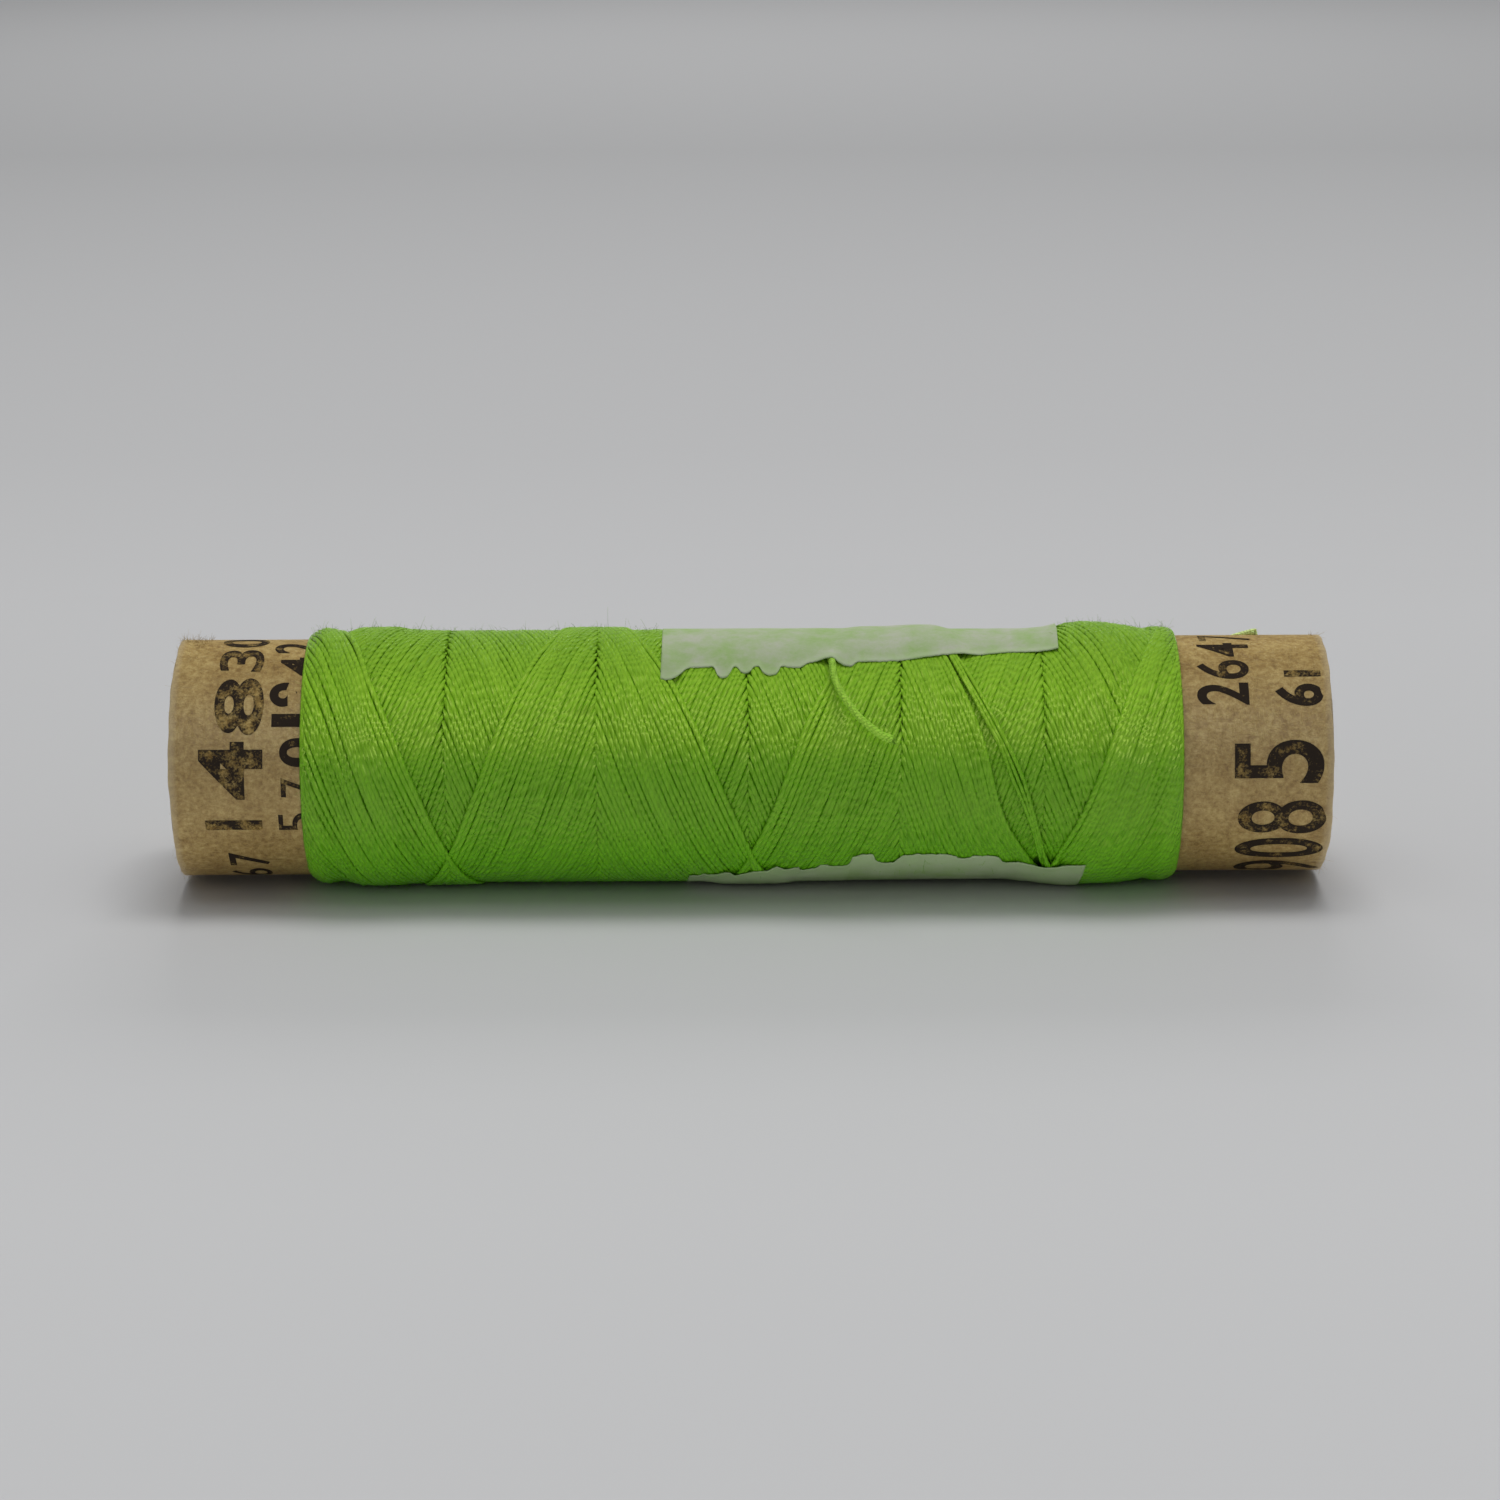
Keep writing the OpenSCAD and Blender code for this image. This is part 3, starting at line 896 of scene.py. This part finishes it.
def covering_heights(threads):
    """Radius, on a grid along and around, of a taut sheet that lies over all the threads."""
    high = np.full((int((WINDING_RIGHT - WINDING_LEFT) / CELL_X) + 2, int(360 / CELL_ANGLE)), OLD_R)
    for path, _, half_height, _ in threads:
        fine = np.linspace(0, len(path) - 1, 8 * len(path))
        whole = np.arange(len(path))
        x, y, z = (np.interp(fine, whole, column) / MM for column in path.T)
        r = np.hypot(y, z) + np.interp(fine, whole, half_height)
        i = ((x - WINDING_LEFT) / CELL_X).astype(int)
        j = (np.degrees(np.arctan2(z, -y)) % 360 / CELL_ANGLE).astype(int) % high.shape[1]
        np.maximum.at(high, (i, j), r)
    shifts = [(a, b) for a in range(-SPAN_X, SPAN_X + 1) for b in range(-SPAN_ANGLE, SPAN_ANGLE + 1)]
    widest = np.max([np.roll(high, shift, (0, 1)) for shift in shifts], axis=0)
    weights = [
        (1 + math.cos(math.pi * a / (SPAN_X + 1))) * (1 + math.cos(math.pi * b / (SPAN_ANGLE + 1)))
        for a, b in shifts
    ]
    smooth = sum(w * np.roll(widest, shift, (0, 1)) for w, shift in zip(weights, shifts))
    return smooth / sum(weights)


def sheet_radius(cover, x, angle):
    """The sheet's radius at places between the grid's points."""
    i = np.clip((x - WINDING_LEFT) / CELL_X - 0.5, 0, cover.shape[0] - 1.001)
    j = np.mod(angle / CELL_ANGLE - 0.5, cover.shape[1])
    i0, j0 = np.floor(i).astype(int), np.floor(j).astype(int) % cover.shape[1]
    j1 = (j0 + 1) % cover.shape[1]
    i, j = i - i0, j - np.floor(j)
    near = cover[i0, j0] * (1 - j) + cover[i0, j1] * j
    far = cover[i0 + 1, j0] * (1 - j) + cover[i0 + 1, j1] * j
    return near * (1 - i) + far * i


def smooth_noise(values, reach):
    """Noise from -1 to 1 at places, smooth over a reach."""
    knots = np.arange(values.min() - 2 * reach, values.max() + 3 * reach, reach)
    return np.interp(values, knots, rng.uniform(-1, 1, len(knots)))


def torn_edge(outline, part, left, right, tears):
    """Angles of a torn edge: its outline with finer tears, each with its size and reach."""
    x = left + part * (right - left)
    edge = from_table(outline, x)
    for size, reach in tears:
        edge += size * smooth_noise(x, reach)
    return edge


def add_band():
    """A thin sheet that hugs the winding over the back, with two torn edges at the front."""
    part = np.linspace(0, 1, 241)
    top = torn_edge(TORN_TOP, part, BAND_LEFT, BAND_RIGHT, ((0.15, 0.13), (0.12, 0.07)))
    bottom = 360 + torn_edge(TORN_BOTTOM, part, LOWER_LEFT, LOWER_RIGHT, ((0.35, 0.12), (0.25, 0.06)))
    edge_rows = np.linspace(0, 0.06, 13)
    way = np.concatenate([edge_rows[:-1], np.linspace(0.06, 0.94, 67), 1 - edge_rows[-2::-1]])[:, None]
    angle = top + (bottom - top) * way
    skew = (angle - BAND_FROM) / (BAND_TO - BAND_FROM)
    x = BAND_LEFT + (1.3 - 0.15 * part) * np.clip(skew, 0, 1.1) ** 2 + part * BAND_W
    x = x + 0.02 * np.sin(angle / 9) * (1 - part) + 0.02 * np.sin(angle / 7 + 1) * part
    r = sheet_radius(covering_heights(newest_first), x, angle) + 0.005
    from_top = 1 - ramp(angle - top, 0, 5)
    from_bottom = 1 - ramp(bottom - angle, 0, 6)
    over_root = np.exp(-(((x - ROOT_X) / 0.55) ** 2) - ((angle - ROOT_ANGLE) / 6) ** 2)
    r += 0.02 * from_top**2 * (1 + smooth_noise(part * 20, 0.8)) + 0.2 * over_root
    r += 0.05 * from_bottom**2 * (1 + 0.9 * smooth_noise(part * 20, 0.6))
    points = polar(x, angle, r)
    keep_above(points, FLOOR_Z + BAND_T + 0.005)
    faces = grid_faces(*x.shape, closed=False)
    flat = np.stack([part * BAND_W + 0 * angle, angle * MM_PER_DEGREE], -1).reshape(-1, 2)
    # Paler at both torn edges; over the rest of the lower strip the paleness is painted light from below
    torn = np.maximum(0.5 * from_top, np.clip(1.3 - (bottom - angle) / 24, 0, 1))
    uvs = flat[faces.ravel()]
    band = piece_from_grid("paper_band_torn", points, faces, uvs, {"torn": torn.ravel()})
    select_only([band])
    apply_modifier(band, "SOLIDIFY", thickness=BAND_T * MM, offset=1)
    return band


def paper_material():
    """Thin white paper, with the green thread showing through where it lies close. It is paler at its torn
    edges, and paler over the rest of the lower strip, which there is painted light.
    """
    material, tree, shader = new_material("thin_white_paper", 0.7, 0.3)
    where = object_place(tree)
    colour = colour_ramp(tree, noise(tree, where, 520, 5, 0.7), (
        (0.34, (0.26, 0.39, 0.135)), (0.5, (0.325, 0.405, 0.225)), (0.68, (0.40, 0.42, 0.33)),
    ))
    # Paleness of the torn edges, and painted light over the lower strip
    torn = calculate(tree, "MULTIPLY", point_value(tree, "torn"), 0.6)
    colour = mix_colours(tree, torn, colour, (0.5, 0.63, 0.37, 1))
    finish_shader(tree, shader, colour, 0.35, noise(tree, where, 3500, 3))
    return material


band = add_band()
band.data.materials.append(paper_material())
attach(band, "root")
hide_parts("paper_band")


# ---- The paper tube ----

# Dark, middle and pale tones of brown paper, and the pale one of its worn rims
FACE_TONES = ((0.2, 0.115, 0.028), (0.33, 0.218, 0.066), (0.47, 0.345, 0.13))
INNER_TONES = ((0.17, 0.115, 0.05), (0.25, 0.18, 0.09), (0.33, 0.25, 0.14))
RIM_TONE = (0.47, 0.38, 0.23)
RIM_LENGTH = 0.45
SEAM_ANGLE = 200
SEAM_HALF_ANGLE = 0.7


def kraft_nodes(tree, where, tones):
    """Nodes for brown paper of matted fibres, pale and dark. Gives its colour and height."""
    dark, middle, pale = tones
    tone = calculate(tree, "MULTIPLY", noise(tree, where, 520, 5, 0.6), 0.34)
    tone = calculate(tree, "MULTIPLY_ADD", noise(tree, where, 3600, 5, 0.7), 0.58, tone)
    colour = colour_ramp(tree, tone, ((0.34, dark), (0.46, middle), (0.58, pale)))
    ridges = []
    for scale, stretch, lean, amount, tint in (
        (2900, (0.3, 1, 1), 0.5, 0.3, pale), (2300, (1, 0.35, 0.35), -0.4, 0.25, pale),
        (1700, (0.4, 1, 1), 1.1, 0.3, dark),
    ):
        lie = {"Vector": where, "Scale": stretch, "Rotation": (0.3, 0.2, lean)}
        level = noise(tree, add_node(tree, "Mapping", "Vector", lie), scale, 2, 0.5, 0.9)
        apart = calculate(tree, "ABSOLUTE", calculate(tree, "SUBTRACT", level, 0.5))
        ridge = map_range(tree, apart, 0, 0.035, 1, 0)
        colour = mix_colours(tree, calculate(tree, "MULTIPLY", ridge, amount), colour, (*tint, 1))
        ridges.append(ridge)
    return colour, calculate(tree, "MAXIMUM", ridges[0], ridges[1])


def kraft_material(name, tones, rim_wear):
    """Brown paper, whose rims are paler by how much they are worn."""
    material, tree, shader = new_material(name, 0.55, 0.45)
    where = object_place(tree)
    colour, height = kraft_nodes(tree, where, tones)
    out = calculate(tree, "ABSOLUTE", coordinate(tree, where, "X"))
    rim = map_range(tree, out, (HALF_TUBE - RIM_LENGTH) * MM, HALF_TUBE * MM)
    worn = calculate(tree, "MULTIPLY", rim, rim_wear)
    colour = mix_colours(tree, worn, colour, (*RIM_TONE, 1))
    grain = noise(tree, where, 5000, 3)
    finish_shader(tree, shader, colour, 0.6, calculate(tree, "ADD", height, grain))
    return material


def repaint(piece, material):
    piece.data.materials.clear()
    piece.data.materials.append(material)


smooth_kraft = kraft_material("smooth_kraft", FACE_TONES, 0.75)
rough_kraft = kraft_material("rough_kraft", INNER_TONES, 0.2)
for node in ("inner_ply", "middle_ply"):
    repaint(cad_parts[node], rough_kraft)


def open_seam(ply):
    """Takes out the strip of faces where the edges of the rolled sheet meet."""
    turn = math.radians(SEAM_ANGLE)
    seam = Vector((0, -math.cos(turn), math.sin(turn)))
    for polygon in ply.data.polygons:
        flat = Vector((0, polygon.center.y, polygon.center.z)).normalized()
        polygon.select = flat.dot(seam) > math.cos(math.radians(SEAM_HALF_ANGLE))
    bpy.ops.object.mode_set(mode="EDIT")
    bpy.ops.mesh.delete(type="FACE")
    bpy.ops.object.mode_set(mode="OBJECT")


def wear_ends(ply):
    """Makes both rims a little uneven and swollen, over the last 1.2 mm."""
    points = np.empty(len(ply.data.vertices) * 3, np.float32)
    ply.data.vertices.foreach_get("co", points)
    points = points.reshape(-1, 3)
    turn = np.arctan2(points[:, 2], -points[:, 1])
    near = np.clip(1 - (HALF_TUBE - np.abs(points[:, 0]) / MM) / 1.2, 0, 1)
    for side, phase in ((-1, 0.4), (1, 2.9)):
        uneven = 0.03 * np.sin(turn * 3 + phase) + 0.02 * np.sin(turn * 8 + 2 * phase)
        uneven += 0.012 * np.sin(turn * 23 + phase)
        swell = 0.025 * np.sin(turn * 5 + phase) + 0.012 * np.sin(turn * 14 + phase)
        mine = np.sign(points[:, 0]) == side
        points[:, 0] += np.where(mine, side * near * (uneven - 0.03) * MM, 0)
        lift = 1 + np.where(mine, near**2 * (swell + 0.01) / TUBE_R, 0)
        points[:, 1] *= lift
        points[:, 2] *= lift
    ply.data.vertices.foreach_set("co", points.ravel())
    ply.data.update()


def add_outer_ply():
    """The smooth outer ply with its seam at the back, and ends a little worn and uneven."""
    bpy.ops.object.select_all(action="DESELECT")
    bpy.ops.mesh.primitive_cylinder_add(
        vertices=300, radius=TUBE_R * MM, depth=2 * HALF_TUBE * MM, end_fill_type="NOTHING",
        rotation=(0, math.pi / 2, 0),
    )
    ply = bpy.context.object
    ply.name = "outer_ply_worn"
    bpy.ops.object.transform_apply(location=True, rotation=True, scale=True)
    cut_mesh([
        ((side * (HALF_TUBE - from_end) * MM, 0, 0), (1, 0, 0))
        for from_end in (0.35, 0.8, 1.5, 3.0, 8.0) for side in (-1, 1)
    ])
    open_seam(ply)
    apply_modifier(ply, "SOLIDIFY", thickness=OUTER_PLY_T * MM, offset=-1)
    apply_modifier(
        ply, "BEVEL", width=0.09 * MM, segments=3, limit_method="ANGLE", angle_limit=math.radians(50)
    )
    wear_ends(ply)
    bpy.ops.object.shade_smooth_by_angle(angle=math.radians(40))
    return ply


outer_ply = add_outer_ply()
repaint(outer_ply, smooth_kraft)
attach(outer_ply, "root")
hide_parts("outer_ply")


# ---- Plain numbers stamped on the tube ----

# The ink's radius, the cells that its numerals are cut into, and the width of a stroke's edge
INK_R = TUBE_R + 0.012
INK_CELL = 0.11
INK_EDGE = 0.2


def ink_material():
    """Dark stamping ink, thickest at the edges of each stroke and worn back to the paper."""
    material, tree, shader = new_material("worn_black_ink", 0.8, 0.1)
    where = object_place(tree)
    paper, _ = kraft_nodes(tree, where, FACE_TONES)
    specks = calculate(tree, "ADD", noise(tree, where, 8500, 4, 0.7), noise(tree, where, 1400, 2))
    given = calculate(tree, "MULTIPLY_ADD", point_value(tree, "depth"), -0.1, specks)
    given = calculate(tree, "ADD", given, point_value(tree, "ink"))
    covered = map_range(tree, given, 1.17, 1.52)
    finish_shader(tree, shader, mix_colours(tree, covered, paper, (0.022, 0.015, 0.01, 1)))
    return material


def flat_digit(digit, wide, tall, bold):
    """A numeral as a flat mesh of a given size, cut by a grid so that it can be bent."""
    bpy.ops.object.select_all(action="DESELECT")
    bpy.ops.object.text_add()
    letter = bpy.context.object
    letter.data.body = digit
    letter.data.offset = bold
    bpy.ops.object.convert(target="MESH")
    in_edit_mode(bpy.ops.mesh.remove_doubles, threshold=0.0001)
    mesh = letter.data
    points = np.array([v.co for v in mesh.vertices])
    low, high = points.min(0), points.max(0)
    sized = (points - low) / np.maximum(high - low, 1e-9) * [wide, tall, 0]
    mesh.vertices.foreach_set("co", sized.astype(np.float32).ravel())
    mesh.update()
    cuts = [((place, 0, 0), (1, 0, 0)) for place in np.arange(INK_CELL, wide, INK_CELL)]
    cuts += [((0, place, 0), (0, 1, 0)) for place in np.arange(INK_CELL, tall, INK_CELL)]
    cut_mesh(cuts)
    return letter


def stroke_depths(mesh):
    """The points of a flat numeral, and how far each lies from the nearest edge of its stroke."""
    shape = bmesh.new()
    shape.from_mesh(mesh)
    points = np.array([v.co for v in shape.verts])
    rim = np.array([[e.verts[0].index, e.verts[1].index] for e in shape.edges if e.is_boundary])
    shape.free()
    a, b = points[rim[:, 0]][None], points[rim[:, 1]][None]
    along = b - a
    t = ((points[:, None] - a) * along).sum(-1) / np.maximum((along**2).sum(-1), 1e-12)
    nearest = a + along * np.clip(t, 0, 1)[..., None]
    return points, np.linalg.norm(points[:, None] - nearest, axis=-1).min(1)


def add_number(digit, top, foot, start, end, ink, bold):
    """One numeral on the tube, read upward. Its top and foot are places along the tube, it
    spans an angle, and its ink runs from worn to full."""
    wide = math.radians(end - start) * INK_R
    letter = flat_digit(digit, wide, foot - top, bold)
    mesh = letter.data
    points, depth = stroke_depths(mesh)
    placed = polar(foot - points[:, 1], start + np.degrees(points[:, 0] / INK_R), INK_R)
    mesh.vertices.foreach_set("co", placed.astype(np.float32).ravel())
    set_values(mesh, "depth", np.clip(depth / INK_EDGE, 0, 1))
    set_values(mesh, "ink", np.full(len(points), ink))
    mesh.update()
    return letter


def add_numbers(name, numbers):
    """Joins a group of numerals into one piece."""
    select_only([add_number(*number) for number in numbers])
    bpy.ops.object.join()
    piece = bpy.context.object
    piece.name = name
    bpy.ops.object.transform_apply(location=True, rotation=True, scale=True)
    in_edit_mode(bpy.ops.mesh.normals_make_consistent, inside=False)
    repaint(piece, black_ink)
    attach(piece, "root")


black_ink = ink_material()
add_numbers("numbers_right", [
    ("2", 21.85, 24.4, 38.3, 50.5, 0.75, 0.02), ("6", 21.95, 24.5, 52.8, 65.5, 0.62, 0.01),
    ("4", 22.1, 24.65, 68.4, 82.0, 0.7, 0.02), ("7", 22.3, 24.9, 85.0, 96.0, 0.6, 0.0),
    ("5", 23.61, 27.98, 0.2, 20.9, 0.66, 0.02), ("8", 23.84, 28.2, -27.5, -8.5, 0.58, 0.01),
    ("0", 23.84, 28.2, -46.5, -30.5, 0.66, 0.02), ("9", 24.0, 28.3, -68.0, -50.0, 0.6, 0.0),
    ("6", 25.68, 28.04, 37.6, 49.7, 0.72, 0.03), ("1", 26.2, 28.0, 54.0, 58.0, 0.42, 0.0),
])
add_numbers("numbers_left", [
    ("1", -26.8, -24.0, -22.0, -16.5, 0.45, 0.0), ("4", -27.01, -23.87, -5.5, 22.4, 0.55, 0.04),
    ("8", -26.27, -23.86, 25.6, 56.0, 0.52, 0.03), ("3", -26.21, -24.03, 60.6, 79.0, 0.55, 0.02),
    ("0", -26.27, -23.97, 82.5, 99.0, 0.6, 0.02), ("5", -23.2, -21.4, -23.7, -12.6, 0.62, 0.0),
    ("7", -23.0, -21.2, -4.4, 5.0, 0.65, 0.0), ("0", -23.05, -21.2, 10.3, 24.1, 0.75, 0.03),
    ("1", -23.45, -21.5, 29.5, 36.0, 0.75, 0.02), ("9", -23.6, -21.4, 39.7, 53.3, 0.75, 0.03),
    ("4", -23.2, -21.4, 57.7, 71.4, 0.7, 0.03), ("2", -23.6, -21.4, 75.3, 88.4, 0.7, 0.02),
    ("7", -25.85, -23.86, -50.0, -37.7, 0.68, 0.01), ("6", -25.9, -23.9, -69.0, -54.0, 0.65, 0.0),
])


# ---- Fuzz ----

FUZZ_COUNT = 11000
FUZZ_SIDES = 3
# Share of the fuzz that is kept, by place along the tube
FUZZ_CLUMPS = (
    (-22, 1), (-20.5, 1), (-18, 0.6), (-16, 0.8), (-10, 0.5), (-8, 0.7), (-6, 0.4), (0, 0.4),
    (14, 0.5), (16, 1), (21.4, 1),
)


def add_fuzz(name, places, length, thickness):
    """Short loose fibres that stand from a surface. A place is along, angle and radius."""
    fibres = []
    t = np.linspace(0, 1, 5)[:, None]
    for x, angle, r in places:
        start = polar(np.array([x]), np.array([angle]), np.array([r - 0.05]))[0]
        out = outward(start[None])[0]
        way = unit(out * rng.uniform(0.15, 1.0) + rng.normal(0, 0.6, 3))
        bend = rng.normal(0, 0.8, 3)
        reach = min(length * rng.lognormal(0, 0.4), 2.2 * length)
        points = start + (way * t + bend * t**2 * 0.6) * reach * MM
        keep_above(points, FLOOR_Z + 0.02)
        width = np.linspace(1, 0.45, 5) * thickness * rng.uniform(0.7, 1.2)
        fibres.append((points, width, width, rng.uniform(0.5, 1)))
    return sweep_threads(name, fibres, FUZZ_SIDES)


def fuzz_places():
    """Places all over the winding but for the part that the band covers."""
    x = rng.uniform(WINDING_LEFT + 0.1, WINDING_RIGHT - 0.1, FUZZ_COUNT)
    x = x[rng.uniform(0, 1, FUZZ_COUNT) < from_table(FUZZ_CLUMPS, x)]
    angle = rng.uniform(0, 360, len(x))
    covered = (x > BAND_LEFT + 0.02) & (x < BAND_RIGHT) & (angle > BAND_FROM) & (angle < BAND_TO)
    x, angle = x[~covered], angle[~covered]
    return zip(x, angle, winding_envelope(x, angle))


def fluff_places():
    """Places all round both rims, and on the upper side of the left end."""
    rims = [
        (side * rng.uniform(HALF_TUBE - 0.5, HALF_TUBE - 0.02), rng.uniform(0, 360), TUBE_R - 0.02)
        for side in rng.choice([-1, 1], 700)
    ]
    left_top = [(rng.uniform(0.05, 1.6) - HALF_TUBE, rng.normal(92, 9), TUBE_R) for _ in range(300)]
    return rims + left_top


fuzz = add_fuzz("thread_fuzz", fuzz_places(), 0.25, 0.0082)
fuzz.data.materials.append(lime_thread)
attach(fuzz, "root")

fluff = add_fuzz("kraft_fluff", fluff_places(), 0.22, 0.0065)
fluff.data.materials.append(smooth_kraft)
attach(fluff, "root")
